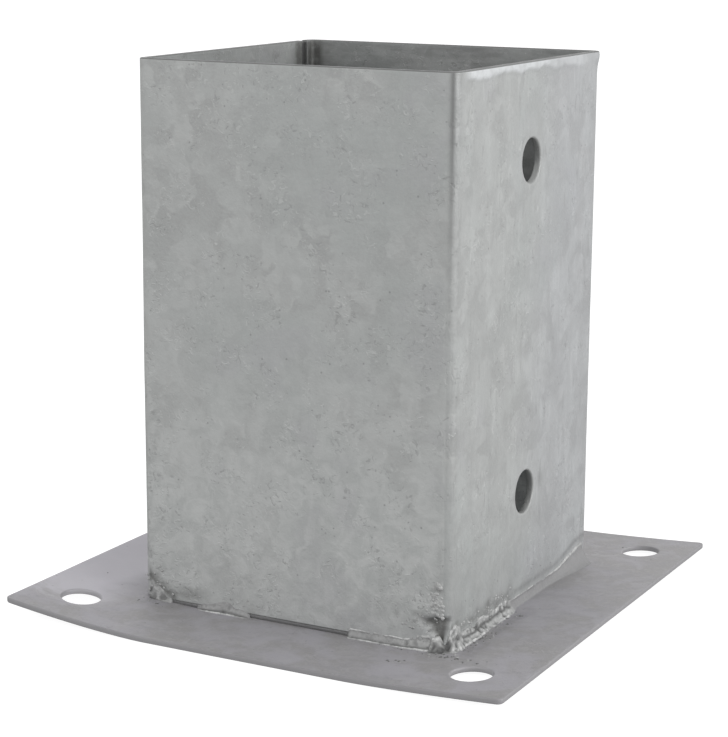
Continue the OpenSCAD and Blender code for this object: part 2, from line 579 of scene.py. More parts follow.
def bead_rows(base, out, sizes, leg, climb, rough, high, low, cut, cut_at, seed):
    """Rings round a fillet bead, from the wall down to the plate and back inside the metal.

    base and out are the foot points on the wall's face and the directions out of it. leg and
    climb say how far the bead reaches over the plate and up the wall, rough how high its lumps
    are, high and low how high the ridges by the wall and by the plate are, and cut how deep the
    dark groove between them is, from 0 to 1. Each is one value per ring. cut_at is the groove's
    place, from 0 at the wall to 1 at the plate. The second result holds the finish layers."""
    share = np.concatenate([[0, 0.05], np.linspace(0.1, 0.9, 15), [0.95, 1]])
    sway = lattice_noise(base, 5, seed) * 0.16 + lattice_noise(base, 1.9, seed + 1) * 0.10
    heave = lattice_noise(base, 4, seed + 2) * 0.14 + lattice_noise(base, 1.6, seed + 3) * 0.10
    # a smooth run wavers less than a rough one
    wild = np.clip(rough / (0.3 * MM), 0.15, 1)
    leg = leg * (1 + sway * wild)
    climb = climb * (1 + heave * wild)
    sunk = 0.25 * MM
    count, size = len(base), len(share)
    rows = np.zeros((count, size + 3, 3))
    ridge, pit = np.zeros((count, size + 3)), np.zeros((count, size + 3))

    def spot(d, h):
        x, y = (base[:, :2] + out * d[:, None]).T
        return np.column_stack([x, y, plate_top(x, y, sizes) + h])

    for k, t in enumerate(share):
        d = (leg + sunk) * t ** 1.45 - sunk
        h = (climb + sunk) * (1 - t) ** 1.45 - sunk
        points = spot(d, h)
        fade = math.sin(math.pi * t) ** 0.5
        lumps = ridged(points, 1.9, seed + 5) * 0.6 + lattice_noise(points, 0.8, seed + 6) * 0.35
        waver = 0.55 + 0.6 * lattice_noise(points, 3.2, seed + 8)
        upper = math.exp(-((t - 0.15) / 0.07) ** 2) * np.clip(waver + 0.3, 0.2, 1)
        lower = math.exp(-((t - 0.84) / 0.08) ** 2) * np.clip(waver + 0.3, 0, 1)
        crest = high * upper + low * lower
        off_cut = t - cut_at - 0.5 * sway * (rough > 0.25 * MM)
        valley = cut * np.exp(-(off_cut / 0.075) ** 2)
        swell = crest + rough * lumps * fade - valley * 0.22 * MM
        lean = math.pi / 2 * t
        rows[:, k] = spot(d + swell * math.cos(lean), h + swell * math.sin(lean))
        # painted highlight on the crests and lumps, painted shade in the pits and the groove
        ridge[:, k] = crest / (0.35 * MM) + np.clip(lumps - 0.25, 0, 1) * rough / (0.6 * MM)
        pit[:, k] = np.clip(0.30 - lumps * 1.5, 0, 1) * rough / (0.45 * MM) * fade + valley
    deep = np.full(count, -0.7 * MM)
    for k, (d, h) in enumerate(((leg * 0.8, deep), (deep, deep), (deep, climb * 0.85))):
        rows[:, size + k] = spot(d, h)
    plain = np.repeat(1 - np.clip((rough - 0.05 * MM) / (0.2 * MM), 0, 1), size + 3)
    ridge, pit = (np.clip(v, 0, 1).ravel() for v in (ridge, pit))
    return rows, {"ridge": ridge, "soot": pit, "plain": plain}


def tapered(s, taper):
    """1 along a run, falling in a round end to a small stub over the taper at both ends."""
    near_end = np.clip(np.minimum(s - s.min(), s.max() - s) / taper, 0, 1)
    return 0.15 + 0.85 * np.sqrt(1 - (1 - near_end) ** 2)


def span_of(node, wall):
    """Where a CAD weld starts and stops along its wall."""
    low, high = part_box(node)
    along = Vector((*WALLS[wall][1], 0))
    return sorted((along.dot(low), along.dot(high)))


def changing(value, *changes):
    """A value along a wall that starts as given. Each change is (by how much, from, to), with the
    two places in mm."""

    def at(s):
        return value + sum(by * rise(s, start, stop) for by, start, stop in changes)

    return at


def stitch(node, wall, sizes, material, shape, cut, cut_at, seed, taper):
    """A fillet bead along one wall's foot, where its CAD weld is. The shape is leg, climb, rough,
    high and low in mm. These and the cut are numbers or functions of the place along the wall."""
    out, along = (np.array(v, float) for v in WALLS[wall])
    s = np.array(spaced(*span_of(node, wall), 0.32 * MM))
    base = np.column_stack([out * HALF_W + along * s[:, None], np.zeros(len(s))])
    tail = tapered(s, taper * MM)
    *lengths, cut = (v(s) if callable(v) else np.full(len(s), float(v)) for v in (*shape, cut))
    rows, layers = bead_rows(base, np.tile(out, (len(s), 1)), sizes,
                             *(v * MM * tail for v in lengths), cut * tail, cut_at, seed)
    return bead_piece("bead_" + node[5:], rows, layers, material, node)


def bead_piece(name, rows, layers, material, node):
    """The mesh piece of a bead from its rings."""
    verts, faces = tube(rows[:, ::-1])
    layers = {key: v.reshape(rows.shape[:2])[:, ::-1].ravel() for key, v in layers.items()}
    return make_piece(name, verts, faces, material, node, layers)


def build_foot_welds(sizes, material):
    """The straight stitches round the sleeve's foot, each in the place of its CAD weld."""
    short_start, short_stop = span_of("weld_front_short", "front")
    short_middle = 0.45 * short_start + 0.55 * short_stop

    def short_climb(s):
        return 2.0 + 2.0 * hump(s - short_middle, 0, 3.6)

    tack = (1.2, changing(7.4, (-5.6, -46, -38)), 0.36, 0.03, 0)
    front_short = (1.4, short_climb, 0.16, 0.05, 0.32)
    front_long = (1.7, changing(2.9, (1.9, 33, 42)), changing(0.16, (0.18, 28, 40)), 0.28, 0.34)
    # the +X run starts rough and full of spatter, thins to a smooth fillet, and climbs at its end
    right = (changing(2.6, (-1.4, -12, -4), (3.1, 14, 42)),
             changing(4.1, (-0.7, -12, -6), (3.8, 22, 42)), changing(0.50, (-0.48, -13, -6)),
             changing(0.16, (0.08, -12, -4)), changing(0.20, (-0.20, -14, -6)))
    # node, wall, shape, cut, place of the cut, seed, taper in mm
    runs = (
        ("weld_front_tack", "front", tack, 1.0, 0.86, 101, 1.2),
        ("weld_front_short", "front", front_short, 0.75, 0.64, 111, 3),
        ("weld_front_long", "front", front_long, changing(0.4, (0.3, 28, 40)), 0.66, 121, 1),
        ("weld_right", "right", right, changing(1, (-1, -13, -6)), 0.42, 131, 0.8),
        ("weld_back_short", "back", (2.4, 3.2, 0.14, 0.18, 0.2), 0.3, 0.6, 141, 2),
        ("weld_back_long", "back", (2.6, 3.4, 0.12, 0.18, 0.2), 0.3, 0.6, 151, 2),
        ("weld_left_short", "left", (2.4, 3.2, 0.14, 0.18, 0.2), 0.3, 0.6, 161, 2),
        ("weld_left_long", "left", (2.5, 3.3, 0.12, 0.18, 0.2), 0.3, 0.6, 171, 2))
    for node, wall, *rest in runs:
        stitch(node, wall, sizes, material, *rest)


def build_near_corner(sizes, material):
    """The rough lumps that carry the weld round the near corner, low where the fold is hollow."""
    fold = sizes.fold_radius
    flat = HALF_W - fold
    front_lead = flat - span_of("weld_front_long", "front")[1] + 0.8 * MM
    right_lead = flat + span_of("weld_right", "right")[0] + 1.5 * MM
    step_length = 0.3 * MM
    before = [((flat - d, -HALF_W), (0, -1)) for d in reversed(spaced(0, front_lead, step_length))]
    turn = [math.radians(a) for a in spaced(-90, 0, 5)[1:-1]]
    bend = [((flat + fold * math.cos(a), -flat + fold * math.sin(a)), (math.cos(a), math.sin(a)))
            for a in turn]
    after = [((HALF_W, -flat + d), (1, 0)) for d in spaced(0, right_lead, step_length)]
    base = np.array([(*p, 0) for p, _ in before + bend + after])
    out = np.array([n for _, n in before + bend + after], float)
    s = np.concatenate([[0], np.cumsum(np.linalg.norm(np.diff(base, axis=0), axis=1))])
    dip = hump(s - (front_lead + fold * 0.6), 0, 1.0)
    # past the fold the bead climbs higher, round a pit that painted shade darkens
    past_fold = s - (front_lead + fold * math.pi / 2)
    climb = 4.6 - 2.2 * dip + 2.4 * rise(past_fold, -2.8, -0.8)
    pit = hump(past_fold, 0.6, 1.6)
    tail = tapered(s, 0.8 * MM)
    rows, layers = bead_rows(base, out, sizes, (2.6 - 0.9 * dip) * tail * MM, climb * tail * MM,
                             0.55 * tail * MM, 0.20 * tail * MM, 0.22 * tail * MM,
                             (0.5 + 0.5 * pit) * tail, 0.45, 201)
    # painted shade in the fold's hollow, where the bead dips
    layers["soot"] = np.clip(layers["soot"] + np.repeat(dip, rows.shape[1]) * 0.8, 0, 1)
    return bead_piece("bead_near_corner", rows, layers, material, "weld_near_corner")


def build_seam_weld(material):
    """The rippled bead that closes the sleeve's seam, set back a little on the inside."""
    mid = (SEAM_LOW.y + SEAM_HIGH.y) / 2
    half = (SEAM_HIGH.y - SEAM_LOW.y) / 2
    heights = np.array(spaced(SEAM_LOW.z, SEAM_HIGH.z, 0.5 * MM))
    arc = np.linspace(-math.pi / 2, math.pi / 2, 11)
    tail = tapered(heights, 2 * MM)
    level = np.ones(len(heights))
    rows = np.zeros((len(heights), len(arc) + 2, 3))
    for k, a in enumerate(arc):
        ripple = 0.06 * MM * np.sin(heights / (1.7 * MM) * TURN + 2.2 * math.cos(a))
        crown = (0.75 * MM * tail + ripple) * math.cos(a)
        side = mid + (half + 0.55 * MM) * math.sin(a)
        rows[:, k] = np.column_stack([-HALF_W - crown, side * level, heights])
        wobble = layered_noise(rows[:, k], 3.5, 301)
        rows[:, k, 0] -= wobble * 0.12 * MM
        rows[:, k, 1] += wobble * 0.16 * MM
    for k, way in enumerate((1, -1)):
        side = mid + way * (half + 0.2 * MM)
        rows[:, len(arc) + k] = np.column_stack([SEAM_HIGH.x * level, side * level, heights])
    verts, faces = tube(rows[:, ::-1])
    # painted highlight along the crown, and painted shade on the faces within the gap
    crest = np.tile(np.concatenate([[0, 0], 0.25 + 0.35 * np.cos(arc)]), len(heights))
    within = np.tile(np.concatenate([[1, 1], arc * 0]), len(heights))
    return make_piece("bead_seam", verts, faces, material, "weld_seam",
                      {"ridge": crest, "soot": within, "plain": within * 0})


def build_gap_shade_film(sizes, material):
    """A thin film set back in the gap under the sleeve between the stitches, darkened with painted
    shade: it stands in for the shade in that gap.
    """
    path = SleevePath(sizes.fold_radius)
    lengths = np.array(spaced(0.2 * MM, path.length - 0.2 * MM, 1 * MM))
    pos, normal = path.at(lengths)
    ground = np.column_stack([pos, np.zeros(len(pos))])
    thin = 0.5 * MM
    lap = 0.25 * MM
    sag = 0.30 * MM + 0.10 * MM * layered_noise(ground, 6, 71)
    floor_z = plate_top(*pos.T, sizes) - lap
    roof_z = np.full(len(pos), SLEEVE_LOW.z + lap)
    rows = np.zeros((len(pos), 6, 3))
    section = ((0, 0.0), (0.5, 0.35), (1, 0.0))
    for k, (share, dip) in enumerate(section):
        z = floor_z + (roof_z - floor_z) * share
        face = pos - normal * (sag + dip * 0.3 * MM)[:, None]
        rows[:, k] = np.column_stack([face, z])
        rows[:, 5 - k] = np.column_stack([face - normal * thin, z])
    verts, faces = tube(rows)
    count = len(verts)
    # painted shade over the whole film
    layers = {"ridge": np.zeros(count), "soot": np.full(count, 0.42), "plain": np.ones(count)}
    return make_piece("foot_film", verts, faces, material, None, layers)


def droplet(centre, normal, radius, height, seed):
    """A small frozen droplet on a surface: a lumpy flattened half ball."""
    rings, around = 5, 10
    normal = Vector(normal).normalized()
    turn = normal.to_track_quat("Z", "Y").to_matrix()
    verts = []
    wobble = np.random.default_rng(seed).uniform(0.82, 1.18, around)
    for i in range(rings):
        a = math.pi / 2 * i / rings
        for j in range(around):
            b = TURN * j / around
            r = radius * math.cos(a) * (wobble[j] * math.cos(a) + 1 - math.cos(a))
            up = height * (math.sin(a) - 0.15)
            verts.append(Vector(centre) + turn @ Vector((r * math.cos(b), r * math.sin(b), up)))
    verts.append(Vector(centre) + turn @ Vector((0, 0, 0.85 * height)))
    top = (rings - 1) * around
    crown = [(top + j, top + (j + 1) % around, len(verts) - 1) for j in range(around)]
    return verts, [*bands(rings, around), *crown, tuple(reversed(range(around)))]


# droplets on the walls: wall, from and to along it, lowest, highest, count, largest radius, in mm
WALL_SPATTER = (
    ("front", 32, 45, 7, 15, 34, 0.42), ("front", -46, -37, 4, 12, 20, 0.42),
    ("front", -30, -12, 4.5, 7, 8, 0.3), ("right", -43, -8, 5.5, 9, 70, 0.42),
    ("right", -8, 42, 6, 12, 14, 0.25), ("back", -40, 40, 5, 12, 40, 0.35),
    ("left", -40, 36, 5, 12, 40, 0.35))
# droplets on the plate: x from and to, y from and to, count, largest radius, in mm
PLATE_SPATTER = (
    (35, 43, -60, -57, 9, 0.45), (50, 60, -54, -49, 16, 0.5), (49.5, 53, -45, -8, 60, 0.42),
    (42, 50, -52, -48, 24, 0.5), (-48, -38, -52, -48, 12, 0.4), (17, 43, -51, -49, 14, 0.3),
    (-72, 72, 50, 70, 26, 0.3), (-72, -52, -50, 50, 26, 0.3))


def build_spatter(sizes, material):
    """Droplets of weld metal on the plate and the sleeve's foot, and drips up the near corner."""
    draw = np.random.default_rng(7)
    spots = []
    for wall, start, stop, lowest, highest, count, largest in WALL_SPATTER:
        out, along = (np.array(v, float) for v in WALLS[wall])
        for _ in range(round(count * sizes.spatter_share)):
            x, y = (out * HALF_W + along * draw.uniform(start, stop) * MM)
            z = (lowest + (highest - lowest) * draw.random() ** 1.8) * MM
            size = largest * draw.uniform(0.3, 1) * MM
            spots.append(((x, y, z), (*out, 0), size, size * 0.5))
    for x0, x1, y0, y1, count, largest in PLATE_SPATTER:
        for _ in range(round(count * sizes.spatter_share)):
            x, y = draw.uniform(x0, x1) * MM, draw.uniform(y0, y1) * MM
            z = float(plate_top(np.array([x]), np.array([y]), sizes)[0])
            size = largest * draw.uniform(0.3, 1) * MM
            spots.append(((x, y, z), (0, 0, 1), size, size * 0.55))
    # drips that climb the near corner above its hollow, and the big one at the top of them
    path = SleevePath(sizes.fold_radius)
    drip_line = path.fold_start[1] + path.arc / 2 - 2.8 * MM
    drips = []
    for _ in range(56):
        # they lie closer together the higher they are
        up = draw.random() ** 1.2
        spread = 1.7 - 1.1 * up
        aside = draw.normal(-0.4 * spread, spread)
        drips.append((aside, 10.8 + 7 * up, draw.uniform(0.18, 0.62)))
    drips += [(-0.9, 19.0, 0.7), (0.8, 19.2, 0.8), (0, 19.6, 1.0)]
    for aside, height, size in drips:
        (x, y), normal = (v[0] for v in path.at([drip_line + aside * MM]))
        stands_out = size * draw.uniform(0.2, 0.45) * MM
        spots.append(((x, y, height * MM), (*normal, 0), size * MM, stands_out))
    verts, faces, dark = [], [], []
    for k, (centre, normal, radius, height) in enumerate(spots):
        more, sides = droplet(centre, normal, radius, height, 400 + k)
        faces += [tuple(i + len(verts) for i in f) for f in sides]
        verts += more
        # most droplets on the plate have burned dark
        dark += [draw.choice((0.1, 0.75), p=(0.4, 0.6)) if normal[2] else 0.0] * len(more)
    # painted highlights on every droplet, strongest on the drips, which come last
    count, drip_count = len(verts), len(drips) * len(more)
    bright = np.where(np.arange(count) < count - drip_count, 0.35, 0.48)
    return make_piece("weld_spatter", verts, faces, material, None,
                      {"ridge": bright, "soot": dark, "plain": np.zeros(count)})


# ---------------------------------------------------------------- materials


def shade(colour, factor, tint=(1, 1, 1)):
    """A colour made lighter or darker, with an optional tint, as RGBA."""
    return (*(min(1.0, c * factor * t) for c, t in zip(colour, tint)), 1.0)


class Wiring:
    """A short way to wire a node tree. Each call adds a node and returns one of its outputs."""

    def __init__(self, tree):
        self.tree = tree

    def add(self, kind, inputs=(), out=0, **settings):
        """inputs gives values or other outputs, in order or by name."""
        node = self.tree.nodes.new("ShaderNode" + kind)
        for key, value in settings.items():
            setattr(node, key, value)
        for key, value in inputs.items() if isinstance(inputs, dict) else enumerate(inputs):
            self.put(node.inputs[key], value)
        return node.outputs[out]

    def put(self, socket, value):
        if isinstance(value, bpy.types.NodeSocket):
            self.tree.links.new(value, socket)
        else:
            socket.default_value = value

    def maths(self, operation, *values):
        return self.add("Math", values, operation=operation)

    def times(self, a, b):
        return self.maths("MULTIPLY", a, b)

    def ramp(self, value, low, high, start=0.0, stop=1.0, curve="SMOOTHSTEP"):
        return self.add("MapRange", (value, low, high, start, stop), interpolation_type=curve)


class Skin(Wiring):
    """The wiring of a skin, with sizes in mm. paint, multiply and bump lay one more coat on it."""

    def __init__(self, name, colour):
        self.material = bpy.data.materials.new(name)
        self.material.use_nodes = True
        super().__init__(self.material.node_tree)
        self.shader = self.tree.nodes["Principled BSDF"]
        self.where = self.add("TexCoord", out="Object")
        self.colour = colour
        self.tone = None
        self.normal = None

    def noise(self, size, detail=3.0, rough=0.55, at=None, warp=0.0, out=0):
        inputs = {"Vector": at or self.where, "Scale": 1 / (size * MM), "Detail": detail,
                  "Roughness": rough, "Distortion": warp}
        return self.add("TexNoise", inputs, out)

    def cells(self, size, at=None):
        """Distance from the nearest of many scattered points."""
        return self.add("TexVoronoi", {"Vector": at or self.where, "Scale": 1 / (size * MM)})

    def stretch(self, x, y, z):
        return self.add("Mapping", {"Vector": self.where, "Scale": (x, y, z)})

    def axes(self):
        return self.add("SeparateXYZ", (self.where,)).node.outputs

    def mix(self, share, a, b, blend="MIX"):
        # the colour sockets of a mix node are its inputs 6 and 7 and its output 2
        return self.add("Mix", {0: share, 6: a, 7: b}, 2, data_type="RGBA", blend_type=blend)

    def layer(self, name):
        return self.add("Attribute", out="Fac", attribute_name=name)

    def paint(self, share, factor, tint=(1, 1, 1)):
        """Covers a share of the tone with a lighter or darker shade of the colour."""
        self.tone = self.mix(share, self.tone, shade(self.colour, factor, tint))

    def multiply(self, share, factors):
        """Multiplies a share of the tone by a factor for red, green and blue each."""
        product = self.mix(1.0, self.tone, (*factors, 1), "MULTIPLY")
        self.tone = self.mix(share, self.tone, product)

    def scuff(self, strokes, groups, limits, shares, factors, tint=(1, 1, 1)):
        """Light and dark strokes in loose groups. The result is their height as a relief."""
        low, high = (self.times(self.ramp(strokes, *pair), groups) for pair in limits)
        self.paint(self.times(low, shares), factors[0], tint)
        self.paint(self.times(high, shares), factors[1])
        return self.maths("SUBTRACT", low, high)

    def bump(self, height, distance):
        inputs = {"Height": height, "Distance": distance * MM, "Strength": 1.0}
        if self.normal is not None:
            inputs["Normal"] = self.normal
        self.normal = self.add("Bump", inputs)

    def finish(self, roughness, metallic):
        self.put(self.shader.inputs["Base Color"], self.tone)
        self.put(self.shader.inputs["Roughness"], roughness)
        self.put(self.shader.inputs["Normal"], self.normal)
        self.shader.inputs["Metallic"].default_value = metallic
        return self.material


def zinc_sheet_material(colour):
    """Hot-dip zinc on the sleeve: soft spangle, scuffs, flow marks, specks, soot and heat marks at
    the foot, and painted light and shade on the fold, the foot, the edges, the bores and the
    inside.
    """
    n = Skin("zinc_sheet_skin", colour)
    # spangle: angular patches with soft borders, over wider clouds
    wobble = n.noise(3, 2, 0.5, out="Color")
    bent = n.add("VectorMath", (wobble, (2.2 * MM,) * 3, n.where), operation="MULTIPLY_ADD")
    crystals = {"Vector": bent, "Scale": 1 / (5 * MM), "Smoothness": 0.35}
    spangle = n.add("TexVoronoi", crystals, "Color", feature="SMOOTH_F1")
    plates = n.noise(4.2, 2, 0.45, warp=0.9)
    patches = n.noise(12, 3, 0.55, warp=0.5)
    clouds = n.noise(38, 2, 0.5)
    n.tone = n.mix(n.ramp(spangle, 0.28, 0.72), shade(colour, 0.90), shade(colour, 1.085))
    n.paint(n.ramp(plates, 0.42, 0.58, 0, 0.55), 0.91)
    n.paint(n.ramp(patches, 0.42, 0.60, 0, 0.6), 1.12, (0.99, 1.0, 1.0))
    n.paint(n.ramp(clouds, 0.44, 0.60, 0, 0.5), 0.94, (0.97, 1.0, 0.995))
    # painted light on the front wall's foot, in smears
    smears = n.ramp(n.noise(6, 4, 0.62, warp=0.9), 0.38, 0.64, 0.35, 1.0)
    n.paint(n.times(n.layer("drained"), smears), 1.30)
    n.paint(n.ramp(n.noise(19, 2), 0.54, 0.7, 0, 0.4), 1.0, (1.0, 0.98, 1.02))
    groups = n.noise(10, 3, 0.6, at=n.stretch(1.1, 0.9, 1.0))
    strokes = n.scuff(n.noise(1.9, 3, 0.6, warp=1.2), n.ramp(groups, 0.45, 0.60, 0.12, 1.0),
                      ((0.57, 0.66), (0.42, 0.34)), 0.62, (1.27, 0.74))
    # upright flow marks, which show most on the +X wall
    runs = n.noise(1.9, 3, 0.6, at=n.stretch(1, 1, 0.2), warp=0.5)
    bands = n.noise(6, 2, 0.5, at=n.stretch(1, 1, 0.18))
    axes = n.axes()
    on_right = n.ramp(axes["X"], 46.6 * MM, 47.3 * MM, 0.2, 1.0)
    flow = n.times(n.ramp(n.noise(12, 2, 0.5), 0.42, 0.6, 0.15, 1.0), on_right)
    n.paint(n.times(n.ramp(bands, 0.40, 0.60, 0, 0.55), on_right), 0.945)
    n.paint(n.times(n.ramp(runs, 0.57, 0.68, 0, 0.5), flow), 1.22)
    n.paint(n.times(n.ramp(runs, 0.42, 0.32, 0, 0.6), flow), 0.76)
    n.multiply(n.times(n.layer("cool"), 0.55), (0.995, 0.99, 1.045))
    grain = n.noise(0.7, 2, 0.6)
    n.paint(n.ramp(grain, 0.35, 0.7, 0, 0.2), 1.16)
    rare = n.ramp(n.noise(8, 1), 0.54, 0.60)
    speck = n.times(n.ramp(n.cells(2.7), 0.06, 0.15, 1, 0), rare)
    n.paint(n.times(speck, 0.55), 0.5)
    glint = n.cells(5.1, n.stretch(1.07, 0.93, 1.01))
    n.paint(n.ramp(glint, 0.02, 0.06, 0.5, 0), 1.5)
    # the zinc run under the rim is brighter
    bright = n.times(n.layer("run"), n.ramp(n.noise(3, 3), 0.3, 0.6, 0.6, 1.0))
    n.paint(n.times(bright, 0.95), 1.62, (0.985, 0.99, 1.02))
    # painted shade over the inner skin, unevenly, and painted light deep in the socket, stronger
    # the deeper it goes
    swept = n.noise(3, 3, 0.6, at=n.stretch(0.22, 0.22, 1))
    inner_shade_tone = n.mix(n.ramp(swept, 0.4, 0.6), shade((1, 1, 1), 0.66), shade((1, 1, 1), 0.78))
    inner_shade_tone = n.mix(n.layer("inner_dull"), (1, 1, 1, 1), inner_shade_tone)
    n.tone = n.mix(1.0, n.tone, inner_shade_tone, "MULTIPLY")
    deep = n.ramp(axes["Z"], 45 * MM, 118 * MM, 1.0, 0.0)
    n.multiply(n.times(deep, n.layer("inner_skin")), (2.5, 2.5, 2.5))
    # painted shade on the sheared edges, in the bores and down the near fold; soot and heat marks,
    # with painted shade and shadow by the welds, dark
    n.paint(n.times(n.layer("edge"), 0.9), 0.38)
    n.paint(n.times(n.layer("bore"), 0.95), 0.85)
    n.paint(n.times(n.layer("press"), 0.9), 0.38)
    burn_and_shade = n.times(n.layer("soot"), n.ramp(n.noise(1.8, 4, 0.65), 0.3, 0.6, 0.6, 1.0))
    n.paint(n.times(burn_and_shade, 0.92), 0.33, (1.0, 0.985, 0.95))
    n.bump(n.noise(4.5, 4, 0.55), 0.20)
    n.bump(strokes, 0.055)
    n.bump(n.times(runs, flow), 0.14)
    n.bump(grain, 0.035)
    return n.finish(n.ramp(patches, 0.3, 0.7, 0.50, 0.62), 0.5)


def zinc_plate_material(colour):
    """Duller zinc on the plate: smooth grey, olive and lilac stains, scuffs, a pale wing, painted
    light inside the sleeve, and painted shade on the edges, in the bores and by the welds.
    """
    n = Skin("zinc_plate_skin", colour)
    stains = n.noise(17, 4, 0.6, warp=0.9)
    swirls = n.noise(9, 3, 0.6, at=n.stretch(0.8, 1, 1), warp=1.4)
    fine = n.noise(3.2, 4, 0.6)
    grain = n.noise(0.8, 2, 0.6)
    lines = n.noise(2.2, 3, 0.6, at=n.stretch(0.15, 1, 1), warp=0.3)
    olive = shade(colour, 0.905, (1.01, 1.0, 0.975))
    lilac = shade(colour, 1.06, (1.0, 0.99, 1.025))
    n.tone = n.mix(n.ramp(stains, 0.40, 0.62), olive, lilac)
    n.paint(n.ramp(swirls, 0.50, 0.66, 0, 0.5), 1.12, (1.0, 0.985, 1.03))
    n.paint(n.ramp(swirls, 0.46, 0.34, 0, 0.5), 0.88)
    n.paint(n.ramp(fine, 0.52, 0.68, 0, 0.35), 1.14)
    n.paint(n.ramp(fine, 0.44, 0.30, 0, 0.35), 0.84)
    n.paint(n.ramp(lines, 0.52, 0.75, 0, 0.08), 0.86)
    n.paint(n.ramp(grain, 0.4, 0.7, 0, 0.18), 1.2)
    groups = n.ramp(n.noise(13, 2, 0.6), 0.52, 0.64)
    strokes = n.scuff(n.noise(1.8, 3, 0.6, warp=1.2), groups, ((0.58, 0.68), (0.41, 0.32)),
                      0.45, (1.24, 0.74), (1.01, 0.995, 1.0))
    # the pale wing: the plate's -X side, but not its front corner, with a bent border
    axes = n.axes()
    bent = n.maths("ADD", axes["X"], n.times(stains, 16 * MM))
    behind = n.ramp(n.maths("ADD", axes["Y"], n.times(swirls, 26 * MM)), -58 * MM, -42 * MM)
    n.paint(n.times(n.ramp(bent, -52 * MM, -40 * MM, 0.9, 0), behind), 1.46, (1.0, 0.985, 1.03))
    n.paint(n.ramp(n.cells(4), 0.03, 0.10, 0.5, 0), 0.55)
    # painted light on the part of the plate that the sleeve walls in
    aside = n.maths("MAXIMUM", *(n.maths("ABSOLUTE", axes[k]) for k in "XY"))
    n.multiply(n.ramp(aside, 45 * MM, 46 * MM, 1.0, 0.0), (2.0, 2.0, 2.0))
    # painted shade on the sheared edges and in the bores
    n.paint(n.times(n.layer("edge"), 0.85), 0.76)
    n.paint(n.times(n.layer("bore"), 0.6), 0.92)
    # soot and stains, with painted shadow by the welds, dark
    burn_and_shade = n.times(n.layer("soot"), n.ramp(n.noise(3, 4, 0.65), 0.3, 0.62, 0.4, 1.0))
    n.paint(n.times(burn_and_shade, 0.8), 0.48)
    n.bump(n.noise(6, 4, 0.5), 0.14)
    n.bump(fine, 0.05)
    n.bump(strokes, 0.04)
    n.bump(grain, 0.025)
    return n.finish(n.ramp(stains, 0.3, 0.7, 0.60, 0.70), 0.3)


def zinc_weld_material(colour):
    """Zinc over weld metal: the plate's grey, with painted highlights along the ridges and painted
    shade in the pits.
    """
    n = Skin("zinc_weld_skin", colour)
    lumps = n.noise(2.0, 4, 0.6)
    grain = n.noise(0.6, 3, 0.6)
    streaks = n.noise(1.1, 3, 0.65, at=n.stretch(0.35, 0.35, 1.4), warp=0.5)
    n.tone = n.mix(n.ramp(lumps, 0.35, 0.65), shade(colour, 0.90), shade(colour, 1.06))
    n.paint(n.ramp(streaks, 0.44, 0.34, 0, 0.5), 0.66)
    n.paint(n.ramp(grain, 0.5, 0.7, 0, 0.35), 1.3)
    # painted highlights along the crests and on the brightest lumps and droplets
    ridge = n.times(n.layer("ridge"), n.ramp(grain, 0.3, 0.6, 0.6, 1.0))
    n.paint(n.ramp(ridge, 0.18, 0.80, 0, 0.85), 1.70)
    n.paint(n.ramp(n.cells(1.5), 0.08, 0.22, 0.5, 0), 0.45)
    # a smooth run keeps the plate's plain skin, apart from its crest
    calm = n.times(n.layer("plain"), n.ramp(ridge, 0.15, 0.4, 1, 0))
    n.paint(n.times(calm, 0.85), 0.68, (1.0, 0.985, 1.01))
    # painted shade in the pits, grooves and gaps, and burned droplets, dark
    n.paint(n.times(n.layer("soot"), 0.9), 0.22)
    n.bump(lumps, 0.25)
    n.bump(grain, 0.09)
    return n.finish(n.ramp(ridge, 0.2, 0.9, 0.58, 0.40), 0.5)


def floor_material(colour):
    """A matte pale studio floor with a glow of its own, so that it stays an even white."""
    n = Skin("studio_floor", colour)
    tone = n.mix(n.noise(500, 2), shade(colour, 0.27), shade(colour, 0.28))
    n.put(n.shader.inputs["Base Color"], tone)
    n.shader.inputs["Roughness"].default_value = 0.9
    n.shader.inputs["Specular IOR Level"].default_value = 0.0
    n.shader.inputs["Emission Color"].default_value = shade(colour, 1.0)
    n.shader.inputs["Emission Strength"].default_value = 1.0
    return n.material


def material_for(context, key):
    """The finish of that name, made once."""
    colours = context.scene.post_base_colours
    makers = {"sheet": ("zinc_sheet_skin", zinc_sheet_material),
              "plate": ("zinc_plate_skin", zinc_plate_material),
              "weld": ("zinc_weld_skin", zinc_weld_material),
              "floor": ("studio_floor", floor_material)}
    name, maker = makers[key]
    return bpy.data.materials.get(name) or maker(getattr(colours, key))


# ---------------------------------------------------------------- stage


def soft_light(name, place, target, size, power):
    """A square soft box that is turned to a point."""
    light = bpy.data.lights.new(name, "AREA")
    light.shape = "SQUARE"
    light.size = size
    light.energy = power
    obj = bpy.data.objects.new(name, light)
    bpy.context.scene.collection.objects.link(obj)
    obj.location = place
    obj.rotation_mode = "QUATERNION"
    obj.rotation_quaternion = (Vector(target) - Vector(place)).to_track_quat("-Z", "Y")


# the camera: degrees round from the -Y side, up from level, and rolled
AZIMUTH, ELEVATION, ROLL = (math.radians(a) for a in (27.83, 12.29, 0.36))


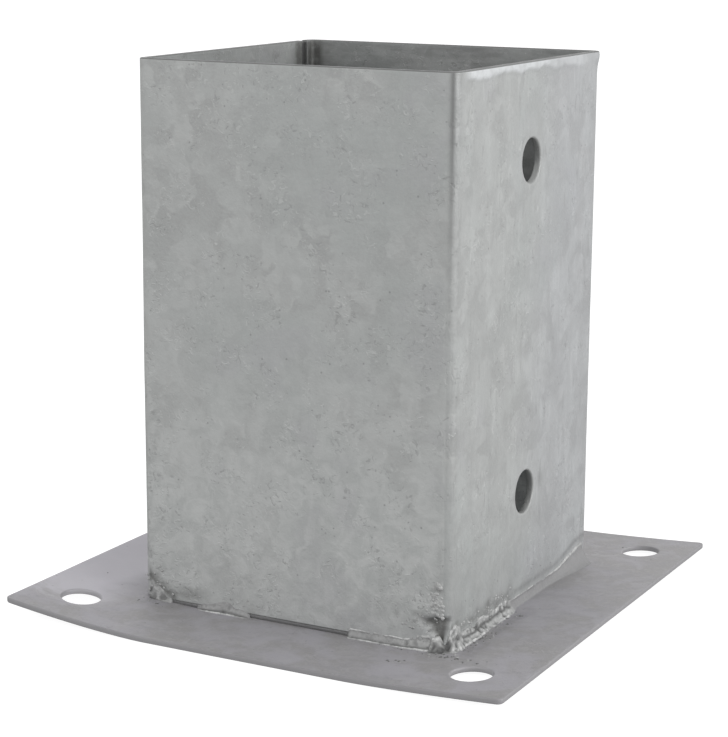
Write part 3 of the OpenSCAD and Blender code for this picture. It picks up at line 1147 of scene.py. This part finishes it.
def build_camera():
    """A long lens a little above the mouth, looking a little down at the near corner."""
    camera = bpy.data.cameras.new("camera")
    camera.lens = 104.2
    camera.sensor_width = 36
    camera.clip_start, camera.clip_end = 0.05, 50
    obj = bpy.data.objects.new("camera", camera)
    bpy.context.scene.collection.objects.link(obj)
    back = Vector((math.sin(AZIMUTH) * math.cos(ELEVATION),
                   -math.cos(AZIMUTH) * math.cos(ELEVATION), math.sin(ELEVATION)))
    turn = (-back).to_track_quat("-Z", "Y").to_matrix() @ Matrix.Rotation(ROLL, 3, "Z")
    obj.rotation_mode = "QUATERNION"
    obj.rotation_quaternion = turn.to_quaternion()
    obj.location = (0.27425, -0.52521, 0.19289)
    bpy.context.scene.camera = obj


def build_floor(material):
    """A wide floor just under the plate, which only the camera sees."""
    reach = 6.0
    lines = spaced(-reach, reach, 1.0)
    size = len(lines)
    verts = [(x, y, PLATE_LOW.z - 0.1 * MM) for x in lines for y in lines]
    faces = [(i * size + j, (i + 1) * size + j, (i + 1) * size + j + 1, i * size + j + 1)
             for i in range(size - 1) for j in range(size - 1)]
    mesh = bpy.data.meshes.new("studio_floor")
    mesh.from_pydata(verts, [], faces)
    mesh.materials.append(material)
    floor = bpy.data.objects.new("studio_floor", mesh)
    bpy.context.scene.collection.objects.link(floor)
    # the floor throws no light back, so that the walls are as bright below as above
    floor.visible_diffuse = False
    floor.visible_glossy = False


def build_sky():
    """An even studio sky: dim below the horizon, brightest just above it, and softer overhead."""
    world = bpy.data.worlds.new("studio_sky")
    world.use_nodes = True
    wiring = Wiring(world.node_tree)
    up = wiring.add("SeparateXYZ", (wiring.add("TexCoord", out="Generated"),), "Z")
    glow = wiring.ramp(up, -0.15, 0.1, 0.62, 1.32, "LINEAR")
    overhead = wiring.ramp(up, 0.25, 0.85, 1.0, 0.66, "LINEAR")
    sky = wiring.tree.nodes["Background"]
    wiring.put(sky.inputs["Strength"], wiring.times(glow, overhead))
    sky.inputs["Color"].default_value = (1, 1, 1, 1)
    bpy.context.scene.world = world


def build_stage(context):
    """Pale floor, even studio sky, two soft boxes and the camera."""
    build_floor(material_for(context, "floor"))
    build_sky()
    middle = (0, 0, 0.07)
    soft_light("key_box", (1.05, 0.0, 0.27), middle, 0.7, 7.5)
    soft_light("fill_box", (-0.5, -0.9, 0.5), middle, 0.8, 1.0)
    context.scene.view_settings.view_transform = "Standard"
    build_camera()


# ---------------------------------------------------------------- operators and panel


class POSTBASE_OT_sleeve(bpy.types.Operator):
    """Build the folded sleeve with its cross holes"""

    bl_idname = "post_base.sleeve"
    bl_label = "Sleeve"

    def execute(self, context):
        build_sleeve(context.scene.post_base_sizes, material_for(context, "sheet"))
        return {"FINISHED"}


class POSTBASE_OT_plate(bpy.types.Operator):
    """Build the base plate with its anchor holes"""

    bl_idname = "post_base.plate"
    bl_label = "Base plate"

    def execute(self, context):
        build_plate(context.scene.post_base_sizes, material_for(context, "plate"))
        return {"FINISHED"}


class POSTBASE_OT_welds(bpy.types.Operator):
    """Build the foot stitches, the near corner's lump and the seam weld"""

    bl_idname = "post_base.welds"
    bl_label = "Welds"

    def execute(self, context):
        sizes = context.scene.post_base_sizes
        material = material_for(context, "weld")
        build_foot_welds(sizes, material)
        build_near_corner(sizes, material)
        build_seam_weld(material)
        build_gap_shade_film(sizes, material)
        return {"FINISHED"}


class POSTBASE_OT_spatter(bpy.types.Operator):
    """Scatter droplets of weld metal round the foot"""

    bl_idname = "post_base.spatter"
    bl_label = "Weld spatter"

    def execute(self, context):
        build_spatter(context.scene.post_base_sizes, material_for(context, "weld"))
        return {"FINISHED"}


class POSTBASE_OT_stage(bpy.types.Operator):
    """Build the floor, the lights and the camera"""

    bl_idname = "post_base.stage"
    bl_label = "Studio stage"

    def execute(self, context):
        build_stage(context)
        return {"FINISHED"}


OPERATORS = (POSTBASE_OT_sleeve, POSTBASE_OT_plate, POSTBASE_OT_welds, POSTBASE_OT_spatter,
             POSTBASE_OT_stage)


class POSTBASE_PT_panel(bpy.types.Panel):
    """Sizes, colours and build steps of the post base"""

    bl_idname = "POSTBASE_PT_panel"
    bl_label = "Post base"
    bl_space_type = "VIEW_3D"
    bl_region_type = "UI"
    bl_category = "Post base"

    def draw(self, context):
        for group in (context.scene.post_base_sizes, context.scene.post_base_colours):
            for name in group.bl_rna.properties.keys():
                if name not in ("rna_type", "name"):
                    self.layout.prop(group, name)
        for operator in OPERATORS:
            self.layout.operator(operator.bl_idname)


CLASSES = (PostBaseSizes, PostBaseColours, *OPERATORS, POSTBASE_PT_panel)


def register():
    for cls in CLASSES:
        bpy.utils.register_class(cls)
    bpy.types.Scene.post_base_sizes = bpy.props.PointerProperty(type=PostBaseSizes)
    bpy.types.Scene.post_base_colours = bpy.props.PointerProperty(type=PostBaseColours)


def unregister():
    del bpy.types.Scene.post_base_colours
    del bpy.types.Scene.post_base_sizes
    for cls in reversed(CLASSES):
        bpy.utils.unregister_class(cls)


def main():
    register()
    bpy.ops.post_base.sleeve()
    bpy.ops.post_base.plate()
    bpy.ops.post_base.welds()
    bpy.ops.post_base.spatter()
    bpy.ops.post_base.stage()
    bpy.context.view_layer.update()


if __name__ == "__main__":
    main()
